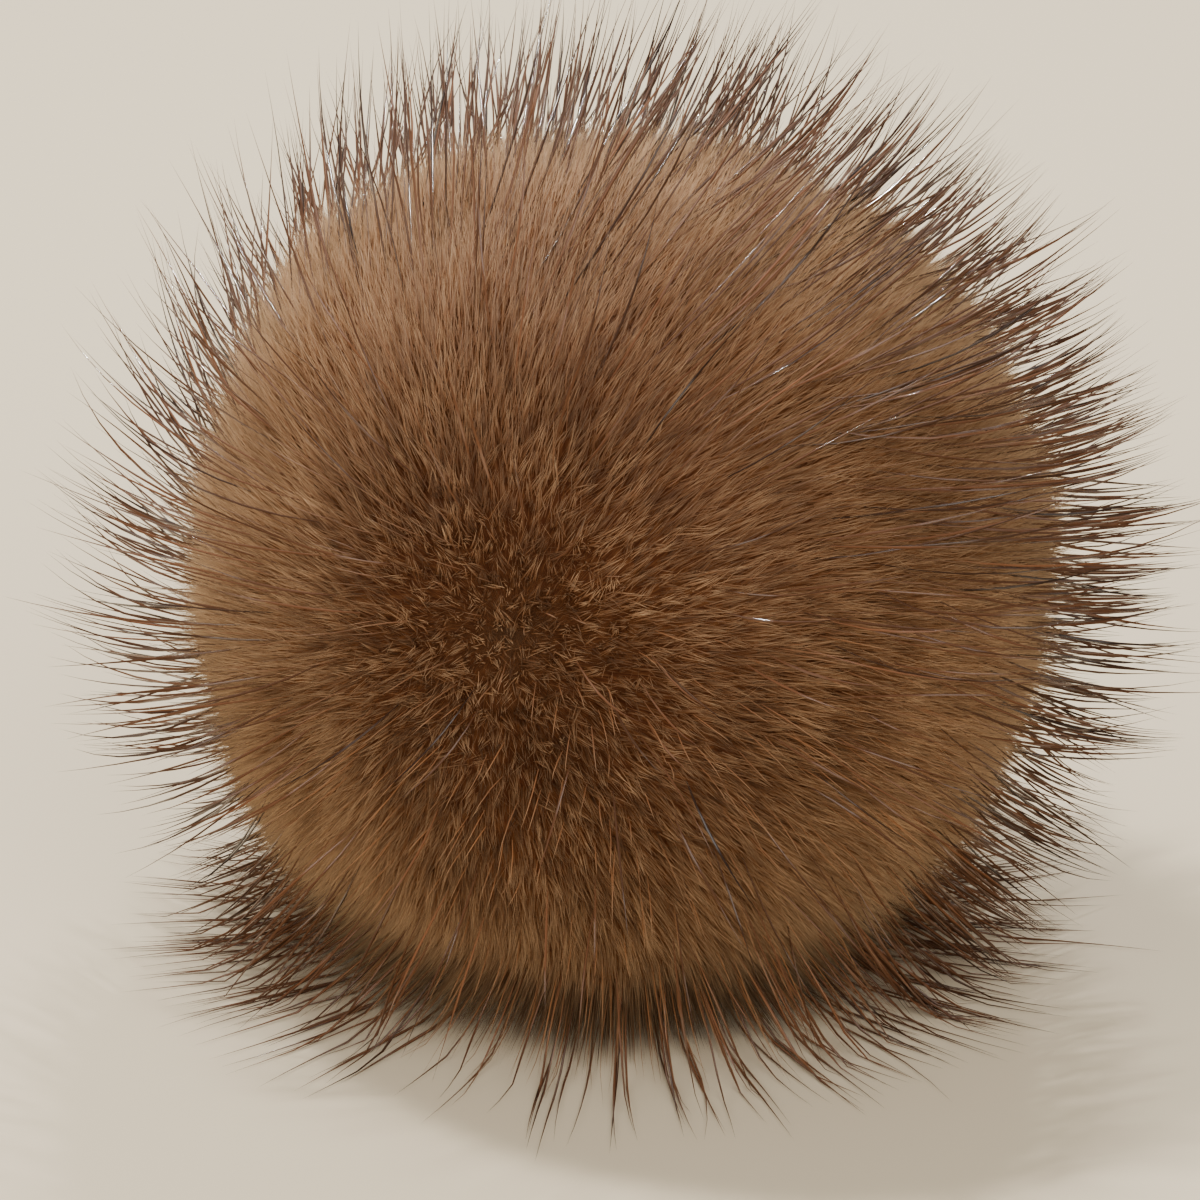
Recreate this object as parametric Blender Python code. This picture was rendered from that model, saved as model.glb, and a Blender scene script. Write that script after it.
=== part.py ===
"""Fur pom pom: one gathered ball of soft fur that stands on a small flat spot.

Dense underfur makes the ball, and the guard hairs stand out of it in tapered tufts. The hairs fan out
from the place where the pelt is gathered, which is a little to the left of the middle and below it.
The hairs underneath lie out along the surface as a low skirt. Ball and tufts are one closed solid.
Metres, +Z up, the front towards -Y, the origin in the middle of the footprint.
"""

import math
import random

import bmesh
import bpy
from mathutils import Vector, noise

# Driving dimensions, metres
BODY_RADIUS = 0.0213  # the dense underfur
FLAT_RADIUS = 0.0088  # of the flat spot
TUFT_LENGTH = 0.0069  # how far the guard hairs stand out of the underfur
GATHER_OFFSET = Vector((-0.0055, -0.0010, -0.0028))  # where the hairs fan out from, off the middle
NEAR_FLAT = 0.0003  # a corner of the ball this close to the surface is moved onto it
SKIRT_START = 0.0013  # the underfur is bare below this height, where it is pressed to the surface
SKIRT_CLEARANCE = 0.0006  # the lowest that a hair's tip lies above the surface
UNEVEN_RISE = 0.0005  # the hollows and swellings all over the underfur
UNEVEN_SCALE = 110.0  # how many of them there are in a metre

# Shares
TUFT_SPREAD = 0.14  # the longest and shortest tufts differ this much from TUFT_LENGTH
TUFT_LEAN = 0.16  # how far a tuft may lean out of line with its neighbours
WAIST_HEIGHT = 0.34  # how far up a tuft it has drawn in
WAIST_WIDTH = 0.46  # how wide the tuft is there, of its foot
CORNER_SHIFT = 0.00045  # how far the feet of the tufts are out of a regular net, metres

NET_CUTS = 5  # each side of an icosahedron in six parts: 720 tufts, about 4 mm apart
SEED = 20

# Where the underfur swells: the way it faces, its rise in metres and how narrow it is
SWELLINGS = (
    {"faces": Vector((-0.58, -0.15, 0.80)), "rise": 0.0014, "narrow": 10},
    {"faces": Vector((-0.78, -0.10, -0.62)), "rise": 0.0009, "narrow": 14},
)

BODY_HEIGHT = math.sqrt(BODY_RADIUS**2 - FLAT_RADIUS**2)  # of the ball's middle above the surface
MIDDLE = Vector((0.0, 0.0, BODY_HEIGHT))
GATHER = MIDDLE + GATHER_OFFSET


def clear_scene():
    for thing in list(bpy.data.objects):
        bpy.data.objects.remove(thing)


def fur_material():
    """Warm mid-brown fur, soft and barely shiny."""
    material = bpy.data.materials.new("brown_fur")
    material.use_nodes = True
    shader = material.node_tree.nodes["Principled BSDF"]
    shader.inputs["Base Color"].default_value = (0.23, 0.115, 0.062, 1.0)
    shader.inputs["Roughness"].default_value = 0.72
    shader.inputs["Metallic"].default_value = 0.0
    return material


def underfur_radius(direction):
    """How far the underfur reaches from the middle of the ball in this direction."""
    swollen = sum(
        lobe["rise"] * max(0.0, direction.dot(lobe["faces"].normalized())) ** lobe["narrow"]
        for lobe in SWELLINGS
    )
    uneven = UNEVEN_RISE * noise.noise(direction * BODY_RADIUS * UNEVEN_SCALE)
    return BODY_RADIUS + swollen + uneven


def shape_underfur(bm, chance):
    """A ball of even triangles, made uneven all over."""
    bmesh.ops.create_icosphere(bm, subdivisions=1, radius=BODY_RADIUS)
    bmesh.ops.subdivide_edges(bm, edges=bm.edges[:], cuts=NET_CUTS, use_grid_fill=True)
    for corner in bm.verts:
        shift = Vector([chance.uniform(-1, 1) for _ in range(3)]) * CORNER_SHIFT
        direction = (corner.co.normalized() * BODY_RADIUS + shift).normalized()
        corner.co = MIDDLE + direction * underfur_radius(direction)


def make_flat_spot(bm):
    """Cuts the ball off level where it rests, which leaves one flat round face."""
    ball = bm.verts[:] + bm.edges[:] + bm.faces[:]
    cut = bmesh.ops.bisect_plane(
        bm, geom=ball, dist=NEAR_FLAT, plane_co=(0, 0, 0), plane_no=(0, 0, 1), clear_inner=True
    )
    rim = [part for part in cut["geom_cut"] if isinstance(part, bmesh.types.BMEdge)]
    bmesh.ops.contextual_create(bm, geom=rim)
    for corner in {corner for edge in rim for corner in edge.verts}:
        corner.co.z = 0.0


def on_or_above_surface(foot, tip):
    """A tip that would go through the surface lies out along it instead, at the same length."""
    if tip.z >= SKIRT_CLEARANCE:
        return tip
    drop = max(foot.z - SKIRT_CLEARANCE, 0.0)
    outwards = Vector((tip.x - foot.x, tip.y - foot.y, 0.0)).normalized()
    run = math.sqrt(max((tip - foot).length_squared - drop**2, 0.0))
    return Vector((foot.x, foot.y, max(SKIRT_CLEARANCE, foot.z - drop))) + outwards * run


def grow_tuft(bm, foot_face, chance):
    """Draws one triangle of the underfur out into a tuft that leans and tapers to a point."""
    foot = foot_face.calc_center_median()
    length = TUFT_LENGTH * (1 + chance.uniform(-TUFT_SPREAD, TUFT_SPREAD))
    lean = Vector([chance.uniform(-1, 1) for _ in range(3)]) * TUFT_LEAN
    along = ((foot - GATHER).normalized() + lean).normalized()
    tip = on_or_above_surface(foot, foot + along * length)
    upright = foot + foot_face.normal * length
    waist = foot + ((tip + upright) / 2 - foot) * WAIST_HEIGHT
    waist.z = max(waist.z, foot.z * (1 - WAIST_HEIGHT) + tip.z * WAIST_HEIGHT)

    drawn_in = bmesh.ops.extrude_discrete_faces(bm, faces=[foot_face])["faces"][0]
    for corner in drawn_in.verts:
        corner.co = waist + (corner.co - foot) * WAIST_WIDTH
        corner.co.z = max(corner.co.z, SKIRT_CLEARANCE / 2)
    point = bmesh.ops.poke(bm, faces=[drawn_in])["verts"][0]
    point.co = tip


def centre_on_origin(bm):
    """Puts the middle of the footprint at the origin."""
    for axis in (0, 1):
        places = [corner.co[axis] for corner in bm.verts]
        middle = (min(places) + max(places)) / 2
        for corner in bm.verts:
            corner.co[axis] -= middle


def make_fur_ball(collection):
    chance = random.Random(SEED)
    bm = bmesh.new()
    shape_underfur(bm, chance)
    make_flat_spot(bm)
    bm.normal_update()
    for face in [face for face in bm.faces if face.calc_center_median().z > SKIRT_START]:
        grow_tuft(bm, face, chance)
    centre_on_origin(bm)
    bmesh.ops.recalc_face_normals(bm, faces=bm.faces[:])

    mesh = bpy.data.meshes.new("fur_ball")
    bm.to_mesh(mesh)
    bm.free()
    mesh.materials.append(fur_material())
    collection.objects.link(bpy.data.objects.new("fur_ball", mesh))


def main():
    clear_scene()
    pom_pom = bpy.data.collections.new("pom_pom")
    bpy.context.scene.collection.children.link(pom_pom)
    make_fur_ball(pom_pom)


main()
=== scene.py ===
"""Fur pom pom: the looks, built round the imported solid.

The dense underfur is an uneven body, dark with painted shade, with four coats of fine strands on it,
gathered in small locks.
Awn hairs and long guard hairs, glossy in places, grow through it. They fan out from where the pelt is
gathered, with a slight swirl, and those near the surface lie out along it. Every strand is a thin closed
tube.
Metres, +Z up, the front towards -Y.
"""

import math

import bmesh
import bpy
import numpy as np
from bpy.props import FloatProperty, FloatVectorProperty, IntProperty, PointerProperty
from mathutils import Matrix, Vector
from mathutils.kdtree import KDTree


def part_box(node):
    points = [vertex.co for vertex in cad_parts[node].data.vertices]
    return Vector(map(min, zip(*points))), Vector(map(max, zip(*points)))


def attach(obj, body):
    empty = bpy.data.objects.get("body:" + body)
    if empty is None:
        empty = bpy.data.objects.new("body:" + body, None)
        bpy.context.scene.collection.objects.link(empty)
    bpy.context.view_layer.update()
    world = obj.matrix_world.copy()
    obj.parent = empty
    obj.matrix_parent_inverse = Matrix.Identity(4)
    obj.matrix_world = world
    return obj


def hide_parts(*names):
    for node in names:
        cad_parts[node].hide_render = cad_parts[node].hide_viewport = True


bl_info = {
    "name": "Fur Pom Pom",
    "version": (1, 0, 0),
    "blender": (4, 5, 0),
    "location": "View3D > Sidebar > Pom Pom",
    "description": "Grows the underfur and guard hairs of a fur pom pom round its solid",
    "category": "Object",
}

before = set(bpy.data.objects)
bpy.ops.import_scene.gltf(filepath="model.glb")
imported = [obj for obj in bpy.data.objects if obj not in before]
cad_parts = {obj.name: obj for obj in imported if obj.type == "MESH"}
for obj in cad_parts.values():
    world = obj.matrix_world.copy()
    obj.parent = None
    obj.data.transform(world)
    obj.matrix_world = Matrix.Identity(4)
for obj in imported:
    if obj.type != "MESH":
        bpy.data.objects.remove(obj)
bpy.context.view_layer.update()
NODE = "fur_ball"
BODY = "root"
LOW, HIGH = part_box(NODE)
HEIGHT = HIGH.z - LOW.z

GOLDEN_ANGLE = math.pi * (3 - math.sqrt(5))
TUBE_SIDES = 3
COLUMN = 0.0025  # half the width of a strand's column on its map
UV_NAME = "OFBake"


# ---------------------------------------------------------------- sizes and colours


class BallSizes(bpy.types.PropertyGroup):
    underfur_radius: FloatProperty(
        name="Underfur radius", description="From the middle of the ball to the underfur's surface",
        default=0.441 * HEIGHT, unit="LENGTH", subtype="DISTANCE",
    )
    flat_radius: FloatProperty(
        name="Flat radius", description="Where a quite round ball would meet the surface",
        default=0.182 * HEIGHT, unit="LENGTH", subtype="DISTANCE",
    )
    gather_offset: FloatVectorProperty(
        name="Gather", description="Where the hairs fan out from, off the middle of the ball",
        default=(-0.0059, -0.0015, -0.0034), size=3, unit="LENGTH", subtype="TRANSLATION",
    )
    swirl: FloatProperty(
        name="Swirl", description="How far the hairs turn clockwise round the whorl",
        default=math.radians(10), subtype="ANGLE",
    )


class UnderfurLook(bpy.types.PropertyGroup):
    lock_spacing: FloatProperty(
        name="Lock spacing", description="Between the tips of neighbouring locks",
        default=0.00060, unit="LENGTH", subtype="DISTANCE",
    )
    strand_width: FloatProperty(
        name="Strand width", description="Of a strand of underfur at its root",
        default=0.00012, unit="LENGTH", subtype="DISTANCE",
    )
    coat_count: IntProperty(
        name="Strands a coat", description="Strands in a full coat",
        default=49000, min=100,
    )
    # painted shade: the colour the body takes deep between the locks
    shade: FloatVectorProperty(
        name="Shade", description="Colour deep between the locks",
        default=(0.062, 0.015, 0.002), size=3, subtype="COLOR",
    )
    root: FloatVectorProperty(
        name="Root", description="Colour of the strands low down",
        default=(0.155, 0.058, 0.016), size=3, subtype="COLOR",
    )
    tip: FloatVectorProperty(
        name="Tip", description="Colour of the strands' tips",
        default=(0.30, 0.181, 0.094), size=3, subtype="COLOR",
    )


class GuardLook(bpy.types.PropertyGroup):
    count: IntProperty(
        name="Guard hairs", description="How many there would be, were they as thick all round",
        default=6000, min=10,
    )
    width: FloatProperty(
        name="Width", description="Of a guard hair at its thickest",
        default=0.00014, unit="LENGTH", subtype="DISTANCE",
    )
    reach: FloatProperty(
        name="Reach", description="From the middle of the ball to the guard hairs' tips",
        default=0.0284, unit="LENGTH", subtype="DISTANCE",
    )
    skirt: FloatProperty(
        name="Skirt", description="Length of the lowest guard hairs, which lie out on the surface",
        default=0.0118, unit="LENGTH", subtype="DISTANCE",
    )
    root: FloatVectorProperty(
        name="Root", description="Colour low down", default=(0.150, 0.062, 0.027), size=3,
        subtype="COLOR",
    )
    tip: FloatVectorProperty(
        name="Tip", description="Colour towards the tip", default=(0.095, 0.039, 0.017), size=3,
        subtype="COLOR",
    )


class AwnLook(bpy.types.PropertyGroup):
    count: IntProperty(
        name="Awn hairs", description="How many there would be, were they as thick all round",
        default=6500, min=10,
    )
    width: FloatProperty(
        name="Width", description="Of an awn hair at its thickest",
        default=0.00007, unit="LENGTH", subtype="DISTANCE",
    )
    reach: FloatProperty(
        name="Reach", description="From the middle of the ball to the awn hairs' tips",
        default=0.0232, unit="LENGTH", subtype="DISTANCE",
    )
    skirt: FloatProperty(
        name="Skirt", description="Length of the lowest awn hairs, which lie out on the surface",
        default=0.0065, unit="LENGTH", subtype="DISTANCE",
    )
    root: FloatVectorProperty(
        name="Root", description="Colour low down", default=(0.15, 0.060, 0.020), size=3,
        subtype="COLOR",
    )
    tip: FloatVectorProperty(
        name="Tip", description="Colour towards the tip", default=(0.26, 0.15, 0.078), size=3,
        subtype="COLOR",
    )


class StageLook(bpy.types.PropertyGroup):
    floor_colour: FloatVectorProperty(
        name="Floor", description="Colour of the floor", default=(0.63, 0.53, 0.37), size=3,
        subtype="COLOR",
    )
    elevation: FloatProperty(
        name="Elevation", description="How steeply the camera looks down",
        default=math.radians(22), subtype="ANGLE",
    )
    distance: FloatProperty(
        name="Distance", description="From the camera to the ball",
        default=0.30, unit="LENGTH", subtype="DISTANCE",
    )


# ---------------------------------------------------------------- vectors


def unit(vectors):
    return vectors / np.maximum(np.linalg.norm(vectors, axis=-1, keepdims=True), 1e-12)


def dot(a, b):
    return np.sum(a * b, axis=-1, keepdims=True)


def between(ends, share):
    return ends[0] + (ends[1] - ends[0]) * share


def smooth_step(low, high, values):
    share = np.clip((values - low) / (high - low), 0.0, 1.0)
    return share * share * (3 - 2 * share)


def even_directions(count, chance, jitter=0.6):
    """count unit vectors spread evenly over a ball, each moved a little off its place."""
    step = np.arange(count) + 0.5
    height = 1 - 2 * step / count
    ring = np.sqrt(1 - height**2)
    turn = step * GOLDEN_ANGLE
    spread = np.stack([ring * np.cos(turn), ring * np.sin(turn), height], axis=1)
    spacing = math.sqrt(4 * math.pi / count)
    return unit(spread + chance.normal(0, jitter * spacing / 2, (count, 3)))


def soft_noise(points, wave, seed, waves=7):
    """A smooth field between about -1 and 1, with hollows and swellings about a wave apart."""
    chance = np.random.default_rng(seed)
    total = np.zeros(len(points))
    for _ in range(waves):
        way = unit(chance.normal(0, 1, 3)) * chance.uniform(0.7, 1.4) * math.tau / wave
        total += np.sin(points @ way + chance.uniform(0, math.tau))
    return total / math.sqrt(waves / 2) / 1.6


# ---------------------------------------------------------------- the lie of the fur


# Directions out of the ball
WHORL_AXIS = unit(np.array([-0.275, -0.942, 0.191]))
PARTING_AXES = unit(np.array([  # along the parting, from the whorl down
    [-0.275, -0.942, 0.191],
    [-0.21, -0.975, -0.04],
    [-0.144, -0.955, -0.261],
]))
FRONT_AXIS = unit(np.array([-0.02, -0.92, 0.27]))  # through the middle of the barer front, left darker than the painted pale sides
COMBED_AXIS = unit(np.array([-0.35, -0.55, 0.75]))  # the upper front, where long hairs lie combed up
LOWER_FRONT_AXIS = unit(np.array([0.02, -0.86, -0.50]))  # where the awn hairs are palest
LONG_AXIS = unit(np.array([-0.7, 0.0, 0.7]))  # where the long hairs reach farthest
FUR_UP = np.array([0.0, 0.37, 0.93])  # what counts as high up on the ball, square to the view
SWELLINGS = (
    {"faces": unit(np.array([-0.12, -0.55, -0.82])), "rise": 0.0014, "narrow": 8},
    {"faces": unit(np.array([-0.58, -0.15, 0.80])), "rise": 0.0014, "narrow": 10},
    {"faces": unit(np.array([-0.78, -0.10, -0.62])), "rise": 0.0009, "narrow": 14},
)
UNEVEN_RISE = 0.00035  # the hollows and swellings all over the underfur
UNEVEN_WAVE = 0.009
TURN_CHANGE = 0.20  # how far the swirl differs from place to place
TURN_WAVE = 0.016
COMBED_FROM = (8, 58)  # degrees from the parting between which the coat comes to lie over
UPRIGHT_FROM = (76, 130)  # degrees from the whorl between which it stands up again, behind
UPRIGHT_SHARE = 0.85
LOWEST_FUR = 0.0010  # the fur is pressed to the surface below this height
LOWEST_STRAND = 0.00008  # the axis of a strand stays this far above the surface
SKIRT_TOP = 0.0070  # hairs that start below this height turn outwards
SKIRT_WHOLE = 0.35  # and wholly so below this share of it
SKIRT_DROP = 0.42  # how steeply the skirt falls to the surface


def ball_sizes():
    return bpy.context.scene.pom_pom_ball


def middle_of_ball():
    ball = ball_sizes()
    return np.array([0.0, 0.0, math.sqrt(ball.underfur_radius**2 - ball.flat_radius**2)])


def degrees_from(axis, directions):
    return np.degrees(np.arccos(np.clip(directions @ axis, -1, 1)))


def degrees_from_parting(directions):
    """From the short line, down from the whorl, along which the fur faces straight out."""
    return np.degrees(np.arccos(np.clip((directions @ PARTING_AXES.T).max(axis=1), -1, 1)))


def underfur_radius(directions):
    """How far the underfur reaches from the middle of the ball in each direction."""
    radius = np.full(len(directions), ball_sizes().underfur_radius)
    for lobe in SWELLINGS:
        radius += lobe["rise"] * np.maximum(directions @ lobe["faces"], 0) ** lobe["narrow"]
    radius += UNEVEN_RISE * soft_noise(directions * radius[:, None], UNEVEN_WAVE, 11)
    return radius


def lie_of_fur(directions, points):
    """For each place on the ball: straight out of the gather, the way the coat lies, and how strongly."""
    ball = ball_sizes()
    gather = middle_of_ball() + np.array(ball.gather_offset)
    fan = unit(points - gather)
    away = dot(directions, WHORL_AXIS) * directions - WHORL_AXIS
    around = unit(np.cross(directions, WHORL_AXIS))
    turn = math.tan(ball.swirl) + TURN_CHANGE * soft_noise(points, TURN_WAVE, 5)[:, None]
    strength = smooth_step(*COMBED_FROM, degrees_from_parting(directions))
    strength *= 1 - UPRIGHT_SHARE * smooth_step(*UPRIGHT_FROM, degrees_from(WHORL_AXIS, directions))
    return fan, unit(unit(away) + turn * around), strength[:, None]


def turn_out_skirt(ways, starts):
    """Low down, hairs give up their own way and fall outwards onto the surface."""
    outwards = starts - middle_of_ball()
    outwards[:, 2] = 0
    outwards = unit(outwards) - np.array([0.0, 0.0, SKIRT_DROP])
    low = smooth_step(SKIRT_TOP, SKIRT_TOP * SKIRT_WHOLE, starts[:, 2])[:, None]
    return unit(ways * (1 - low) + unit(outwards) * low)


def keep_above_surface(paths):
    """Bends each path out along the surface where it would go through it, at the same length."""
    steps = np.diff(paths, axis=1)
    lengths = np.linalg.norm(steps, axis=2)
    bent = paths.copy()
    bent[:, 0, 2] = np.maximum(bent[:, 0, 2], LOWEST_STRAND)
    for k in range(steps.shape[1]):
        height = np.maximum(bent[:, k, 2] + steps[:, k, 2], LOWEST_STRAND)
        drop = height - bent[:, k, 2]
        run = np.sqrt(np.maximum(lengths[:, k] ** 2 - drop**2, 0))
        level = steps[:, k, :2]
        outwards = bent[:, k, :2]
        way = np.where(np.linalg.norm(level, axis=1, keepdims=True) > 1e-6, level, outwards)
        bent[:, k + 1, :2] = bent[:, k, :2] + unit(way) * run[:, None]
        bent[:, k + 1, 2] = height
    return bent


# ---------------------------------------------------------------- strands as meshes


def strands_to_mesh(name, paths, radii, tones, facing, softness, chance):
    """Joins all strands in one mesh: three-sided tubes, closed at the root, drawn out to a point.

    paths is (strands, points, 3), radii (strands, points) and tones (strands), from 0 to 1. The normals
    turn towards facing, which is (strands, 3), by the share softness, so that the pile shades softly.
    """
    count, points = paths.shape[:2]
    rings = points - 1
    forward = unit(np.gradient(paths, axis=1))
    helper = unit(chance.normal(0, 1, (count, 1, 3)))
    side = unit(np.cross(forward, helper))
    rise = np.cross(forward, side)
    corners, normals = [], []
    for k in range(TUBE_SIDES):
        angle = math.tau * k / TUBE_SIDES
        around = (side * math.cos(angle) + rise * math.sin(angle))[:, :rings]
        corners.append(paths[:, :rings] + around * radii[:, :rings, None])
        normals.append(around)
    tube = np.stack(corners, axis=2).reshape(count, rings * TUBE_SIDES, 3)
    vertices = np.concatenate([tube, paths[:, -1:]], axis=1)
    normals = np.stack(normals, axis=2).reshape(count, rings * TUBE_SIDES, 3)
    normals = np.concatenate([normals, forward[:, -1:]], axis=1)
    normals = unit(normals * (1 - softness) + facing[:, None] * softness)
    per_strand = rings * TUBE_SIDES + 1

    faces, uv = [], []
    for ring in range(rings):
        low, high = ring / rings, (ring + 1) / rings
        for k in range(TUBE_SIDES):
            n = (k + 1) % TUBE_SIDES
            a, b = ring * TUBE_SIDES + k, ring * TUBE_SIDES + n
            left, right = (k - 1) * COLUMN, (n - 1) * COLUMN
            if ring == rings - 1:
                faces.append((a, b, per_strand - 1))
                uv.append(((left, low), (right, low), (0.0, high)))
                continue
            c, d = b + TUBE_SIDES, a + TUBE_SIDES
            faces += [(a, b, c), (a, c, d)]
            uv.append(((left, low), (right, low), (right, high)))
            uv.append(((left, low), (right, high), (left, high)))
    faces.append((2, 1, 0))
    uv.append(((COLUMN, 0.0), (0.0, 0.01), (-COLUMN, 0.0)))
    faces, uv = np.array(faces), np.array(uv)

    first = np.arange(count)[:, None, None] * per_strand
    corners_of_faces = (faces[None] + first).reshape(-1)
    column = 0.01 + 0.98 * np.clip(tones, 0, 1)
    maps = np.repeat(uv[None], count, axis=0)
    maps[..., 0] += column[:, None, None]

    mesh = bpy.data.meshes.new(name)
    mesh.vertices.add(count * per_strand)
    mesh.vertices.foreach_set("co", vertices.reshape(-1).astype(np.float32))
    mesh.loops.add(len(corners_of_faces))
    mesh.loops.foreach_set("vertex_index", corners_of_faces.astype(np.int32))
    mesh.polygons.add(len(corners_of_faces) // 3)
    mesh.polygons.foreach_set("loop_start", np.arange(0, len(corners_of_faces), 3, dtype=np.int32))
    mesh.uv_layers.new(name=UV_NAME).data.foreach_set("uv", maps.reshape(-1).astype(np.float32))
    mesh.update(calc_edges=True)
    if mesh.validate():
        raise RuntimeError(f"{name} has broken faces")
    mesh.shade_smooth()
    mesh.normals_split_custom_set_from_vertices(normals.reshape(-1, 3))
    return mesh


def add_piece(name, mesh, material):
    piece = bpy.data.objects.new(name, mesh)
    bpy.context.scene.collection.objects.link(piece)
    mesh.materials.append(material)
    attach(piece, BODY)
    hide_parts(NODE)


# ---------------------------------------------------------------- materials


SHEEN_TINT = (0.80, 0.55, 0.30)
STREAK_SCALE = 5200.0  # of the streaks on the body
STREAK_DEPTH = 0.00008  # of their relief
GLINT_TURNS = 60.0  # how fast the glossy stretch moves up and down from hair to hair
GLINT_RANGE = 0.3  # how far it moves either way, as a share of the hair
GLINT_PLACE = 0.5  # its middle place, as a share of the hair
GLINT_LENGTH = 0.36  # as a share of the hair


def new_material(name):
    material = bpy.data.materials.new(name)
    material.use_nodes = True
    nodes = material.node_tree.nodes
    return material, nodes, material.node_tree.links, nodes["Principled BSDF"]


def strand_colouring():
    """Shared by every strand: colour from root to tip, lighter and darker from strand to strand by tones
    that carry painted light and shade as well as each strand's own.
    """
    group = bpy.data.node_groups.get("strand_colouring")
    if group:
        return group
    group = bpy.data.node_groups.new("strand_colouring", "ShaderNodeTree")
    make = group.interface.new_socket
    make("Root Colour", in_out="INPUT", socket_type="NodeSocketColor")
    make("Tip Colour", in_out="INPUT", socket_type="NodeSocketColor")
    make("Tip Start", in_out="INPUT", socket_type="NodeSocketFloat")
    make("Tone Spread", in_out="INPUT", socket_type="NodeSocketFloat")
    make("Tone Blend", in_out="INPUT", socket_type="NodeSocketFloat")
    make("Roughness", in_out="INPUT", socket_type="NodeSocketFloat")
    make("Colour", in_out="OUTPUT", socket_type="NodeSocketColor")
    make("Roughness", in_out="OUTPUT", socket_type="NodeSocketFloat")
    nodes, links = group.nodes, group.links
    given, out = nodes.new("NodeGroupInput"), nodes.new("NodeGroupOutput")
    uv, parts = nodes.new("ShaderNodeUVMap"), nodes.new("ShaderNodeSeparateXYZ")
    uv.uv_map = UV_NAME
    links.new(uv.outputs[0], parts.inputs[0])
    tone, along = parts.outputs[0], parts.outputs[1]

    reach = nodes.new("ShaderNodeMapRange")
    reach.interpolation_type = "SMOOTHSTEP"
    links.new(along, reach.inputs["Value"])
    links.new(given.outputs["Tip Start"], reach.inputs["From Min"])
    centred = nodes.new("ShaderNodeMath")
    centred.operation = "MULTIPLY_ADD"
    links.new(tone, centred.inputs[0])
    centred.inputs[1].default_value = 2.0
    centred.inputs[2].default_value = -1.0
    share = nodes.new("ShaderNodeMath")
    share.operation = "MULTIPLY_ADD"
    share.use_clamp = True
    links.new(centred.outputs[0], share.inputs[0])
    links.new(given.outputs["Tone Blend"], share.inputs[1])
    links.new(reach.outputs["Result"], share.inputs[2])
    blend = nodes.new("ShaderNodeMix")
    blend.data_type = "RGBA"
    links.new(share.outputs[0], blend.inputs["Factor"])
    links.new(given.outputs["Root Colour"], blend.inputs["A"])
    links.new(given.outputs["Tip Colour"], blend.inputs["B"])

    lighter = nodes.new("ShaderNodeMath")
    lighter.operation = "MULTIPLY_ADD"
    links.new(centred.outputs[0], lighter.inputs[0])
    links.new(given.outputs["Tone Spread"], lighter.inputs[1])
    lighter.inputs[2].default_value = 1.0
    shaded = nodes.new("ShaderNodeVectorMath")
    shaded.operation = "SCALE"
    links.new(blend.outputs["Result"], shaded.inputs[0])
    links.new(lighter.outputs[0], shaded.inputs["Scale"])
    links.new(shaded.outputs[0], out.inputs["Colour"])

    rougher = nodes.new("ShaderNodeMath")
    rougher.operation = "MULTIPLY_ADD"
    links.new(centred.outputs[0], rougher.inputs[0])
    rougher.inputs[1].default_value = 0.06
    links.new(given.outputs["Roughness"], rougher.inputs[2])
    links.new(rougher.outputs[0], out.inputs["Roughness"])
    return group


def strand_material(name, look, tip_start, spread, blend, roughness, shine, sheen=0.0):
    """The finish of one kind of strand, in the root and tip colours of its look.

    tip_start is where the tip's colour begins, spread and blend how far a strand's tone changes its
    lightness and its colour, and shine the strength of the reflections.
    """
    material, nodes, links, shader = new_material(name)
    colouring = nodes.new("ShaderNodeGroup")
    colouring.node_tree = strand_colouring()
    colouring.inputs["Root Colour"].default_value = (*look.root, 1.0)
    colouring.inputs["Tip Colour"].default_value = (*look.tip, 1.0)
    colouring.inputs["Tip Start"].default_value = tip_start
    colouring.inputs["Tone Spread"].default_value = spread
    colouring.inputs["Tone Blend"].default_value = blend
    colouring.inputs["Roughness"].default_value = roughness
    links.new(colouring.outputs["Colour"], shader.inputs["Base Color"])
    links.new(colouring.outputs["Roughness"], shader.inputs["Roughness"])
    shader.inputs["Specular IOR Level"].default_value = shine
    shader.inputs["Sheen Weight"].default_value = sheen
    shader.inputs["Sheen Tint"].default_value = (*SHEEN_TINT, 1.0)
    return material


def add_glints(material):
    """Lets each hair be glossy on one short stretch, which lies higher or lower from hair to hair."""
    nodes, links = material.node_tree.nodes, material.node_tree.links
    shader = nodes["Principled BSDF"]
    uv, parts = nodes.new("ShaderNodeUVMap"), nodes.new("ShaderNodeSeparateXYZ")
    uv.uv_map = UV_NAME
    links.new(uv.outputs[0], parts.inputs[0])
    steps = []
    for operation in ("MULTIPLY", "SINE", "MULTIPLY_ADD", "SUBTRACT", "ABSOLUTE"):
        steps.append(nodes.new("ShaderNodeMath"))
        steps[-1].operation = operation
        if len(steps) > 1:
            links.new(steps[-2].outputs[0], steps[-1].inputs[0])
    turned, _, moved, centred, away = steps
    links.new(parts.outputs[0], turned.inputs[0])
    turned.inputs[1].default_value = GLINT_TURNS
    moved.inputs[1].default_value = GLINT_RANGE
    links.new(parts.outputs[1], moved.inputs[2])
    centred.inputs[1].default_value = GLINT_PLACE
    glossy = nodes.new("ShaderNodeMapRange")
    glossy.interpolation_type = "SMOOTHSTEP"
    links.new(away.outputs[0], glossy.inputs["Value"])
    glossy.inputs["From Min"].default_value = GLINT_LENGTH / 2
    glossy.inputs["From Max"].default_value = GLINT_LENGTH / 4
    links.new(glossy.outputs["Result"], shader.inputs["Coat Weight"])
    shader.inputs["Coat Roughness"].default_value = 0.08
    shader.inputs["Coat IOR"].default_value = 1.5


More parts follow.
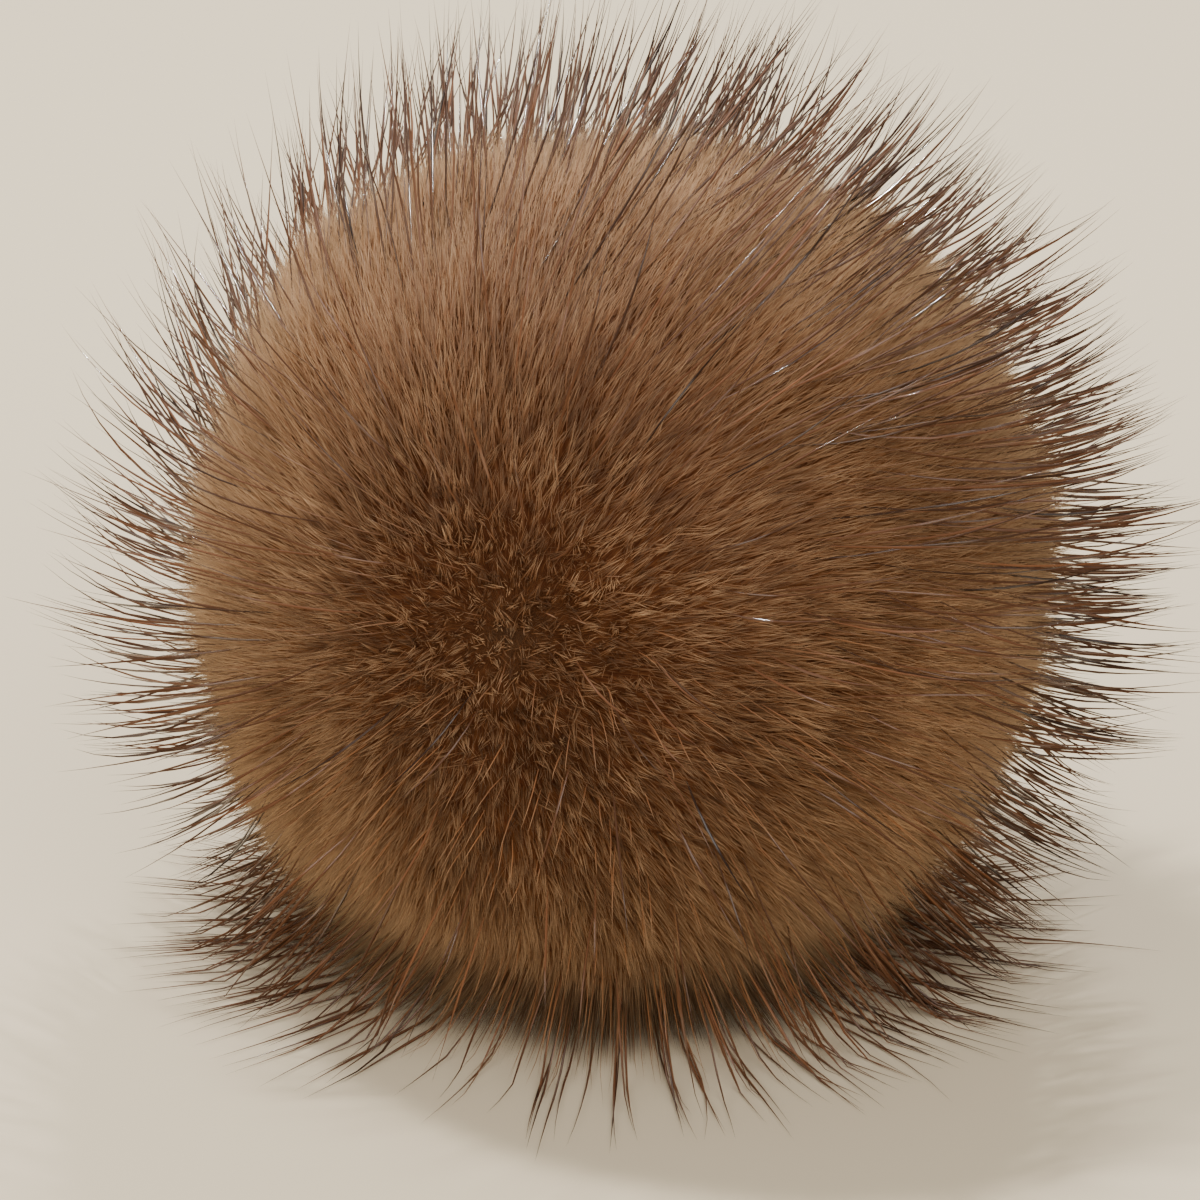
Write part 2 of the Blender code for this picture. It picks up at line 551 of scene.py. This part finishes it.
def body_material():
    """The fine pile that shows between the strands, streaked the way the coat lies, its lightness carrying
    painted light and shade.
    """
    look = bpy.context.scene.pom_pom_underfur
    material, nodes, links, shader = new_material("underfur_shade")
    lie, lightness = nodes.new("ShaderNodeAttribute"), nodes.new("ShaderNodeAttribute")
    lie.attribute_name = "lie"
    lightness.attribute_name = "lightness"
    streaks = nodes.new("ShaderNodeTexNoise")
    streaks.inputs["Scale"].default_value = STREAK_SCALE
    streaks.inputs["Detail"].default_value = 3.0
    links.new(lie.outputs["Vector"], streaks.inputs["Vector"])
    share = nodes.new("ShaderNodeMath")
    share.operation = "MULTIPLY_ADD"
    links.new(lightness.outputs["Fac"], share.inputs[0])
    share.inputs[1].default_value = 1.0
    contrast = nodes.new("ShaderNodeMapRange")
    contrast.inputs["From Min"].default_value = 0.3
    contrast.inputs["From Max"].default_value = 0.7
    contrast.inputs["To Min"].default_value = -0.25
    contrast.inputs["To Max"].default_value = 0.25
    links.new(streaks.outputs["Fac"], contrast.inputs["Value"])
    links.new(contrast.outputs["Result"], share.inputs[2])
    share.use_clamp = True
    colours = nodes.new("ShaderNodeValToRGB")
    # the ramp runs from painted shade through the root colour to the tip colour
    colours.color_ramp.elements[0].color = (*look.shade, 1.0)
    colours.color_ramp.elements[1].color = (*look.tip, 1.0)
    middle = colours.color_ramp.elements.new(0.5)
    middle.color = (*look.root, 1.0)
    links.new(share.outputs[0], colours.inputs["Fac"])
    links.new(colours.outputs["Color"], shader.inputs["Base Color"])
    bump = nodes.new("ShaderNodeBump")
    bump.inputs["Distance"].default_value = STREAK_DEPTH
    links.new(streaks.outputs["Fac"], bump.inputs["Height"])
    links.new(bump.outputs["Normal"], shader.inputs["Normal"])
    shader.inputs["Roughness"].default_value = 0.9
    shader.inputs["Specular IOR Level"].default_value = 0.2
    shader.inputs["Sheen Weight"].default_value = 0.3
    shader.inputs["Sheen Tint"].default_value = (*SHEEN_TINT, 1.0)
    return material


# ---------------------------------------------------------------- operators


BODY_DEPTH = 0.0007  # of the body below the underfur's surface
WHORL_DEPTH = 0.0007  # how much deeper it is round the whorl, where one looks down between the hairs
BODY_PAINTED_SHADE = 0.8  # how light the body is, of the strands over it: painted shade deep under the strands
PARTING_PAINTED_SHADE = 0.12  # painted shade: how much darker the body is at the parting, deep between the locks
STREAK_ROUND = 0.7  # of the ball's radius: where the body's streaks are as wide as they are made
STREAK_ALONG = 0.25  # how much slower the streaks change along their length than across it


# Degrees between which these places end
PARTING_ENDS = (74, 16)
LOWER_FRONT_ENDS = (62, 30)

# How light the underfur is, from 0 to 1, with painted light and shade
FRONT_LIGHT = 0.30
SIDE_PAINTED_LIGHT = 0.33  # how much lighter it is far from the front: partly the fur's paler tips, partly a painted pale rim
SIDES_START = (28, 84)  # degrees from the front
LOW_PAINTED_SHADE = 0.10  # painted shade: how much darker it is low down
COMBED_PAINTED_SHADE = 0.16  # and painted shade on the upper front
PARTING_PAINTED_LIGHT = 0.06  # painted light: how much lighter it is at the parting


def parting_share(directions):
    """1 round the whorl and just below it, falling to 0 away from there."""
    return smooth_step(*PARTING_ENDS, degrees_from_parting(directions))


def lower_front(directions):
    """1 on the lower front, below the whorl, falling to 0 away from there."""
    return smooth_step(*LOWER_FRONT_ENDS, degrees_from(LOWER_FRONT_AXIS, directions))


def coat_lightness(directions):
    """How light the underfur is, from 0 to 1, with painted light and shade: darkest on the front and below
    it, palest far from it.
    """
    light = FRONT_LIGHT + SIDE_PAINTED_LIGHT * smooth_step(*SIDES_START, degrees_from(FRONT_AXIS, directions))
    light -= LOW_PAINTED_SHADE * smooth_step(0.0, -0.6, directions @ FUR_UP)
    light -= COMBED_PAINTED_SHADE * smooth_step(0.72, 0.97, directions @ COMBED_AXIS)
    return light + PARTING_PAINTED_LIGHT * parting_share(directions)


def streak_space(directions):
    """Coordinates that change fast across the lie of the coat and slowly along it."""
    side = unit(np.cross(WHORL_AXIS, FUR_UP))
    up = np.cross(side, WHORL_AXIS)
    far = np.radians(np.clip(degrees_from(WHORL_AXIS, directions), 4, 176))
    turned = math.tan(ball_sizes().swirl) * np.log(np.tan(far / 2))
    around = np.arctan2(directions @ up, directions @ side) + turned
    radius = ball_sizes().underfur_radius
    places = [STREAK_ROUND * np.cos(around), STREAK_ROUND * np.sin(around), STREAK_ALONG * far]
    return radius * np.stack(places, axis=1)


class POMPOM_OT_underfur_body(bpy.types.Operator):
    """Makes the body of fine pile that the strands grow out of, flat where it rests"""

    bl_idname = "pom_pom.underfur_body"
    bl_label = "Underfur Body"

    def execute(self, context):
        bm = bmesh.new()
        bmesh.ops.create_icosphere(bm, subdivisions=6, radius=1.0)
        directions = unit(np.array([corner.co for corner in bm.verts]))
        depth = BODY_DEPTH * (1 + 0.25 * soft_noise(directions, 0.06, 21))
        depth += WHORL_DEPTH * parting_share(directions)
        places = middle_of_ball() + directions * (underfur_radius(directions) - depth)[:, None]
        heights = np.maximum(places[:, 2], LOW.z)
        for corner, place, height in zip(bm.verts, places, heights):
            corner.co = (place[0], place[1], height)
        mesh = bpy.data.meshes.new("underfur_body")
        bm.to_mesh(mesh)
        bm.free()
        mesh.shade_smooth()
        lie = mesh.attributes.new("lie", "FLOAT_VECTOR", "POINT")
        lie.data.foreach_set("vector", streak_space(directions).reshape(-1).astype(np.float32))
        lightness = mesh.attributes.new("lightness", "FLOAT", "POINT")
        # painted shade: the body darker than the strands over it, darker still at the parting and as
        # contact shadow near the surface
        shade = BODY_PAINTED_SHADE * coat_lightness(directions)
        shade -= MAT_PAINTED_SHADE * smooth_step(MAT_TOP, 0, heights)
        shade -= PARTING_PAINTED_SHADE * parting_share(directions)
        lightness.data.foreach_set("value", shade.astype(np.float32))
        add_piece("underfur_body", mesh, body_material())
        return {"FINISHED"}


# The coats of underfur, from the lowest: how many strands as a share of the full count, how far the tips
# rise past the surface and the strands reach below it, width as a share, how far the strands lean the way
# the coat lies, how strongly they draw together into locks, how much they stray and how much lighter
# they are.
COATS = (
    {"name": "underfur_low", "seed": 42, "share": 0.6, "rise": -0.0002, "depth": 0.0012,
     "width": 1.1, "lean": 0.65, "pull": 0.65, "stray": 0.18, "light": -0.04},
    {"name": "underfur_high", "seed": 43, "share": 1.0, "rise": 0.0001, "depth": 0.00115,
     "width": 0.75, "lean": 0.6, "pull": 0.55, "stray": 0.22, "light": 0.01},
    {"name": "underfur_top", "seed": 44, "share": 1.0, "rise": 0.0004, "depth": 0.0011,
     "width": 0.50, "lean": 0.5, "pull": 0.45, "stray": 0.28, "light": 0.07},
    {"name": "underfur_haze", "seed": 45, "share": 1.0, "rise": 0.0013, "depth": 0.0010,
     "width": 0.27, "lean": 0.3, "pull": 0.25, "stray": 0.38, "light": 0.13},
)
LOCK_LEAN = 0.7  # how far the locks lean the way the coat lies
LOCK_RISE = 0.00022  # how far their tips differ in height
LOCK_TONE = 0.17  # how much lighter and darker they are
TIP_RISE = 0.0003  # how far the tips of the strands differ in height
STRAND_WIDTHS = (0.7, 1.2)  # how thin and how thick they are, of the coat's width
STRAND_TAPER = (1.0, 0.4)  # their width at the root and where the point begins
HELD_STRAY = 0.45  # how much less the strands stray at the parting
LOOSE_PULL = 0.4  # how much of their pull the locks keep far from the parting
LOCK_STRAY = (0.12, 0.20)  # how much the locks stray, far from and at the parting
LOCK_HOLD = (0.2, 0.55)  # how far a strand takes on the lean of its lock, far from and at the parting
SOFT_SHADING = (0.82, 0.5)  # how far the strands' normals turn out of the ball, in the same two places
LOCK_TONES = (0.9, 0.3)  # how much lighter and darker locks are kept, low down and high up
STRAND_TONES = (0.15, 0.06)  # how much lighter and darker single strands are, in the same two places
MAT_TOP = 0.0036  # below this height the underfur is pressed out over the surface as a mat, dark with painted contact shadow
MAT_WHOLE = 0.4  # and wholly so below this share of it
MAT_LENGTH = 0.0036  # how far its strands reach out
MAT_PAINTED_SHADE = 0.70  # painted contact shadow: how much darker the mat is
HIGH_UP = (-0.3, 0.4)  # between which heights on the ball, as shares of its radius, low turns to high


def find_locks(look):
    """The small locks that the underfur gathers in: ways out of the ball, tips, leans and tones."""
    chance = np.random.default_rng(3)
    count = int(4 * math.pi * ball_sizes().underfur_radius**2 / look.lock_spacing**2)
    directions = even_directions(count, chance, 0.8)
    surface = middle_of_ball() + directions * underfur_radius(directions)[:, None]
    fan, along, strength = lie_of_fur(directions, surface)
    stray = between(LOCK_STRAY, parting_share(directions)[:, None])
    lean = unit(fan + LOCK_LEAN * strength * along + chance.normal(0, 1, (count, 3)) * stray)
    lean = turn_out_skirt(lean, surface)
    tips = surface + lean * chance.normal(0.0, LOCK_RISE, (count, 1))
    nearest = KDTree(count)
    for index, direction in enumerate(directions):
        nearest.insert(direction, index)
    nearest.balance()
    return nearest, tips, lean, chance.normal(0, LOCK_TONE, count)


def grow_coat(coat, look, locks, material):
    """One coat of underfur. Its strands rise out of the body and draw together into locks."""
    nearest, lock_tips, lock_lean, lock_tones = locks
    chance = np.random.default_rng(coat["seed"])
    directions = even_directions(int(look.coat_count * coat["share"]), chance, 0.9)
    surface = middle_of_ball() + directions * underfur_radius(directions)[:, None]
    keep = surface[:, 2] > LOWEST_FUR
    directions, surface = directions[keep], surface[keep]
    count = len(surface)
    lock = np.array([nearest.find(direction)[1] for direction in directions])
    near_parting = parting_share(directions)[:, None]
    fan, along, strength = lie_of_fur(directions, surface)
    stray = coat["stray"] * (1 - HELD_STRAY * near_parting)
    own = unit(fan + coat["lean"] * strength * along + chance.normal(0, 1, (count, 3)) * stray)
    hold = between(LOCK_HOLD, near_parting)
    lean = turn_out_skirt(unit(own * (1 - hold) + lock_lean[lock] * hold), surface)
    low = smooth_step(MAT_TOP, MAT_TOP * MAT_WHOLE, surface[:, 2])[:, None]
    rise = coat["rise"] + chance.normal(0, TIP_RISE, (count, 1))
    tips = surface + lean * (rise + MAT_LENGTH * low * chance.uniform(0.4, 1, (count, 1)))
    pull = coat["pull"] * between((LOOSE_PULL, 1), near_parting) * (1 - low)
    tips += (lock_tips[lock] + lock_lean[lock] * coat["rise"] - tips) * pull
    roots = surface - lean * (coat["depth"] + WHORL_DEPTH * near_parting)
    paths = keep_above_surface(np.stack([roots, tips], axis=1))
    width = look.strand_width * coat["width"] * chance.uniform(*STRAND_WIDTHS, (count, 1))
    radii = 0.5 * width * np.array([STRAND_TAPER])
    # tones carry painted light and shade from coat_lightness, over each strand's own tone
    tones = coat_lightness(directions) + coat["light"] + 0.06 * soft_noise(surface, 0.006, 31)
    high = smooth_step(*HIGH_UP, directions @ FUR_UP)
    tones += lock_tones[lock] * np.maximum(between(LOCK_TONES, high), near_parting[:, 0])
    tones += chance.normal(0, 1, count) * between(STRAND_TONES, high)
    # painted contact shadow on the mat
    tones -= MAT_PAINTED_SHADE * low[:, 0]
    softness = between(SOFT_SHADING, near_parting)[..., None]
    mesh = strands_to_mesh(coat["name"], paths, radii, tones, directions, softness, chance)
    add_piece(coat["name"], mesh, material)


class POMPOM_OT_underfur(bpy.types.Operator):
    """Grows the coats of underfur, gathered in small locks"""

    bl_idname = "pom_pom.underfur"
    bl_label = "Underfur"

    def execute(self, context):
        look = context.scene.pom_pom_underfur
        material = strand_material(
            "fine_underfur", look, tip_start=0.12, spread=0.5, blend=0.6, roughness=0.65, shine=0.2,
            sheen=0.45,
        )
        locks = find_locks(look)
        for coat in COATS:
            grow_coat(coat, look, locks, material)
        return {"FINISHED"}


HAIR_DEPTH = 0.0006  # where the long hairs start, below the underfur's surface
THICKNESS = (0.52, 0.60)  # how many of the hairs there are, on the left and on the right
UP_ENDS = (-0.35, 0.75)  # between which heights on the ball the hairs come to lean the most
BEHIND_ENDS = (0.45, -0.35)  # cosines of the angles from the whorl between which they stand up again
BEHIND_SHARE = 0.62  # how far they stand up there
LEAN_CHANGE = 6  # degrees by which the lean differs from hair to hair
WAY_CHANGE = 0.06  # how far they stray sideways
LONGER = 0.03  # how much longer the longest hairs are, round LONG_AXIS
LENGTH_CHANGE = 0.035  # how far the hairs differ in reach
SKIRT_CHANGE = 0.12  # how far the hairs of the skirt differ in length

# How the long hairs grow: corners along a hair, lean off upright in degrees, low down and high up; hairs
# in a wisp, how near their tips are and how strongly they draw together; how far a hair curves on
# purpose and by chance; how much thinner the hairs are on the front and at the parting; how much paler
# they are on the lower front; and how far their normals turn out of the ball.
LONG_HAIRS = {
    "awn_hairs": {
        "seed": 61, "points": 4, "lean": (40, 66), "wisp": 4, "wisp_width": 0.002, "pull": 0.4,
        "curve": 0.03, "waver": 0.08, "bare_front": -0.2, "bare_parting": 0.4, "pale": 0.5,
        "softness": 0.4,
    },
    "guard_hairs": {
        "seed": 62, "points": 7, "lean": (50, 77), "wisp": 5, "wisp_width": 0.005, "pull": 0.85,
        "curve": 0.18, "waver": 0.10, "bare_front": 0.65, "bare_parting": 0.85, "pale": 0.1,
        "softness": 0.25,
    },
}


def hair_thickness(directions, heights, habit):
    """How many of the hairs there are in each place, from 0 to 1."""
    thick = between(THICKNESS, smooth_step(-0.8, 0.6, directions[:, 0]))
    bare = smooth_step(72, 35, degrees_from(FRONT_AXIS, directions))
    bare *= smooth_step(0.6, 0.0, directions @ COMBED_AXIS)
    thick *= 1 - habit["bare_front"] * bare
    thick = np.maximum(thick, smooth_step(SKIRT_TOP, SKIRT_TOP * 0.5, heights))
    return thick * (1 - habit["bare_parting"] * parting_share(directions))


def draw_into_wisps(tips, low, habit, directions, chance):
    """Draws the tips of neighbouring hairs together, less so in the skirt and on the left."""
    count = len(tips)
    tree = KDTree(count // habit["wisp"])
    leaders = chance.choice(count, count // habit["wisp"], replace=False)
    for index, leader in enumerate(leaders):
        tree.insert(tips[leader], index)
    tree.balance()
    leader = leaders[[tree.find(tip)[1] for tip in tips]]
    near = np.linalg.norm(tips[leader] - tips, axis=1, keepdims=True) < habit["wisp_width"]
    draw = habit["pull"] * chance.uniform(0.5, 1.0, (count, 1)) * (1 - 0.6 * low)
    draw *= between((0.5, 1.0), smooth_step(-0.2, 0.6, directions[:, :1]))
    return tips + np.where(near, (tips[leader] - tips) * draw, 0)


def grow_long_hairs(name, look, material):
    """Hairs that start in the underfur, lean the way the coat lies and end in loose wisps."""
    habit = LONG_HAIRS[name]
    points = habit["points"]
    chance = np.random.default_rng(habit["seed"])
    directions = even_directions(look.count, chance, 1.0)
    start = middle_of_ball() + directions * (underfur_radius(directions) - HAIR_DEPTH)[:, None]
    thick = hair_thickness(directions, start[:, 2], habit)
    keep = (start[:, 2] > LOWEST_FUR) & (chance.random(look.count) < thick)
    directions, start = directions[keep], start[keep]
    count = len(start)
    fan, along, strength = lie_of_fur(directions, start)

    upper = smooth_step(*UP_ENDS, directions @ FUR_UP)
    behind = smooth_step(*BEHIND_ENDS, directions @ WHORL_AXIS)
    steep = between(habit["lean"], upper) * (1 - BEHIND_SHARE * behind)
    steep = np.radians(steep + chance.normal(0, LEAN_CHANGE, count))[:, None] * (0.35 + 0.65 * strength)
    way = directions * np.cos(steep) + along * np.sin(steep)
    way = unit(way + chance.normal(0, WAY_CHANGE, (count, 3)))
    way = turn_out_skirt(way, start)
    outward = dot(way, directions)
    radius = np.linalg.norm(start - middle_of_ball(), axis=1, keepdims=True)
    longer = LONGER * smooth_step(0.0, 0.8, directions @ LONG_AXIS)[:, None]
    reach = look.reach * (1 + longer + chance.normal(0, LENGTH_CHANGE, (count, 1)))
    length = -radius * outward + np.sqrt(np.maximum(reach**2 - radius**2 * (1 - outward**2), 1e-8))
    low = smooth_step(SKIRT_TOP, SKIRT_TOP * SKIRT_WHOLE, start[:, 2])[:, None]
    length += (look.skirt * (1 + chance.normal(0, SKIRT_CHANGE, (count, 1))) - length) * low
    tips = draw_into_wisps(start + way * length, low, habit, directions, chance)

    share = np.linspace(0, 1, points)[None, :, None]
    off_floor = smooth_step(SKIRT_TOP * 0.5, SKIRT_TOP * 1.3, start[:, 2])[:, None]
    upwards = (FUR_UP - dot(way, FUR_UP) * way) * off_floor
    curve = upwards * habit["curve"]
    curve += unit(np.cross(way, directions)) * chance.normal(0, habit["waver"], (count, 1))
    curve += directions * chance.normal(0.02, habit["waver"], (count, 1)) * off_floor
    paths = start[:, None] + (tips - start)[:, None] * share
    paths += (curve * length)[:, None] * (share**2 - share)
    paths = keep_above_surface(paths)
    along_hair = share[..., 0]
    swell = 0.6 + 0.4 * np.sin(np.pi * np.clip(along_hair * 1.25, 0, 1))
    taper = np.clip((1 - along_hair) / 0.5, 0.05, 1) ** 0.8
    radii = 0.5 * look.width * swell * taper * chance.uniform(0.75, 1.15, (count, 1))
    tones = 0.24 + 0.12 * chance.normal(0, 1, count) + 0.08 * soft_noise(start, 0.012, 51)
    # painted light: the skirt's hairs, in the shade under the ball, are made lighter; the lower front's
    # paleness is the hairs' own
    tones += 0.10 * (1 - off_floor[:, 0]) + habit["pale"] * lower_front(directions)
    mesh = strands_to_mesh(name, paths, radii, tones, directions, habit["softness"], chance)
    add_piece(name, mesh, material)


class POMPOM_OT_awn_hairs(bpy.types.Operator):
    """Grows the awn hairs, between the underfur and the guard hairs in length and colour"""

    bl_idname = "pom_pom.awn_hairs"
    bl_label = "Awn Hairs"

    def execute(self, context):
        look = context.scene.pom_pom_awn
        material = strand_material(
            "awn_hair", look, tip_start=0.3, spread=0.6, blend=0.0, roughness=0.5, shine=0.25, sheen=0.1,
        )
        grow_long_hairs("awn_hairs", look, material)
        return {"FINISHED"}


class POMPOM_OT_guard_hairs(bpy.types.Operator):
    """Grows the long glossy guard hairs that stand out of the ball"""

    bl_idname = "pom_pom.guard_hairs"
    bl_label = "Guard Hairs"

    def execute(self, context):
        look = context.scene.pom_pom_guard
        material = strand_material(
            "guard_hair", look, tip_start=0.25, spread=0.85, blend=0.0, roughness=0.50, shine=0.1,
        )
        add_glints(material)
        grow_long_hairs("guard_hairs", look, material)
        return {"FINISHED"}


CAMERA_LENS = 180.0  # millimetres, on a 36 mm sensor
AIM_OFFSET = Vector((-0.0011, 0.0, -0.0019))  # from the middle of the ball to what the camera looks at
FLOOR_SIZE = 1.5  # from its middle to a side
FLOOR_DROP = 0.00002
WHITE = (1.0, 0.98, 0.96)
WARM_WHITE = (1.0, 0.97, 0.92)
ROOM_COLOUR = (1.0, 0.97, 0.93)
ROOM_LIGHT = 0.55
LIGHTS = (
    {"name": "key_light", "place": (-0.34, -0.24, 0.18), "size": 0.18, "power": 0.70, "colour": WARM_WHITE},
    {"name": "fill_light", "place": (0.20, -0.40, 0.38), "size": 0.50, "power": 2.9, "colour": WHITE},
    {"name": "top_light", "place": (-0.16, 0.16, 0.47), "size": 0.04, "power": 2.9, "colour": WHITE},
    {"name": "glint_light", "place": (0.06, 0.335, 0.40), "size": 0.014, "power": 1.6, "colour": WHITE},
)


class POMPOM_OT_stage(bpy.types.Operator):
    """Sets the plain floor, the soft lights and the camera"""

    bl_idname = "pom_pom.stage"
    bl_label = "Stage"

    def floor(self, colour):
        mesh = bpy.data.meshes.new("floor")
        bm = bmesh.new()
        bmesh.ops.create_grid(bm, x_segments=1, y_segments=1, size=FLOOR_SIZE)
        bm.to_mesh(mesh)
        bm.free()
        floor = bpy.data.objects.new("floor", mesh)
        floor.location.z = -FLOOR_DROP
        material, _, _, shader = new_material("plain_floor")
        shader.inputs["Base Color"].default_value = (*colour, 1.0)
        shader.inputs["Roughness"].default_value = 0.7
        mesh.materials.append(material)
        bpy.context.scene.collection.objects.link(floor)

    def light(self, name, place, size, power, colour):
        lamp = bpy.data.lights.new(name, "AREA")
        lamp.size = size
        lamp.energy = power
        lamp.color = colour
        lamp_object = bpy.data.objects.new(name, lamp)
        lamp_object.location = place
        aim = Vector(middle_of_ball()) - Vector(place)
        lamp_object.rotation_euler = aim.to_track_quat("-Z", "Y").to_euler()
        bpy.context.scene.collection.objects.link(lamp_object)

    def camera(self, look):
        target = Vector(middle_of_ball()) + AIM_OFFSET
        back = Vector((0.0, -math.cos(look.elevation), math.sin(look.elevation)))
        lens = bpy.data.cameras.new("camera")
        lens.lens = CAMERA_LENS
        lens.clip_start = 0.01
        camera = bpy.data.objects.new("camera", lens)
        camera.location = target + back * look.distance
        camera.rotation_euler = (-back).to_track_quat("-Z", "Y").to_euler()
        bpy.context.scene.collection.objects.link(camera)
        bpy.context.scene.camera = camera

    def execute(self, context):
        look = context.scene.pom_pom_stage
        self.floor(look.floor_colour)
        for lamp in LIGHTS:
            self.light(**lamp)
        world = bpy.data.worlds.new("soft_room")
        world.use_nodes = True
        background = world.node_tree.nodes["Background"]
        background.inputs["Color"].default_value = (*ROOM_COLOUR, 1.0)
        background.inputs["Strength"].default_value = ROOM_LIGHT
        context.scene.world = world
        self.camera(look)
        return {"FINISHED"}


class POMPOM_PT_panel(bpy.types.Panel):
    """Lists the sizes, the colours and the steps in the sidebar"""

    bl_idname = "POMPOM_PT_panel"
    bl_label = "Fur Pom Pom"
    bl_space_type = "VIEW_3D"
    bl_region_type = "UI"
    bl_category = "Pom Pom"

    def draw(self, context):
        for group, steps in STEPS:
            box = self.layout.box()
            looks = getattr(context.scene, group)
            for prop in looks.bl_rna.properties:
                if prop.identifier not in ("name", "rna_type"):
                    box.prop(looks, prop.identifier)
            for step in steps:
                box.operator(step.bl_idname)


GROUPS = {
    "pom_pom_ball": BallSizes,
    "pom_pom_underfur": UnderfurLook,
    "pom_pom_awn": AwnLook,
    "pom_pom_guard": GuardLook,
    "pom_pom_stage": StageLook,
}
STEPS = (
    ("pom_pom_ball", (POMPOM_OT_underfur_body,)),
    ("pom_pom_underfur", (POMPOM_OT_underfur,)),
    ("pom_pom_awn", (POMPOM_OT_awn_hairs,)),
    ("pom_pom_guard", (POMPOM_OT_guard_hairs,)),
    ("pom_pom_stage", (POMPOM_OT_stage,)),
)
OPERATORS = [step for _, steps in STEPS for step in steps]


def register():
    for name, group in GROUPS.items():
        bpy.utils.register_class(group)
        setattr(bpy.types.Scene, name, PointerProperty(type=group))
    for operator in OPERATORS:
        bpy.utils.register_class(operator)
    bpy.utils.register_class(POMPOM_PT_panel)


def unregister():
    bpy.utils.unregister_class(POMPOM_PT_panel)
    for operator in reversed(OPERATORS):
        bpy.utils.unregister_class(operator)
    for name, group in GROUPS.items():
        delattr(bpy.types.Scene, name)
        bpy.utils.unregister_class(group)


def main():
    register()
    bpy.ops.pom_pom.underfur_body()
    bpy.ops.pom_pom.underfur()
    bpy.ops.pom_pom.awn_hairs()
    bpy.ops.pom_pom.guard_hairs()
    bpy.ops.pom_pom.stage()


if __name__ == "__main__":
    main()
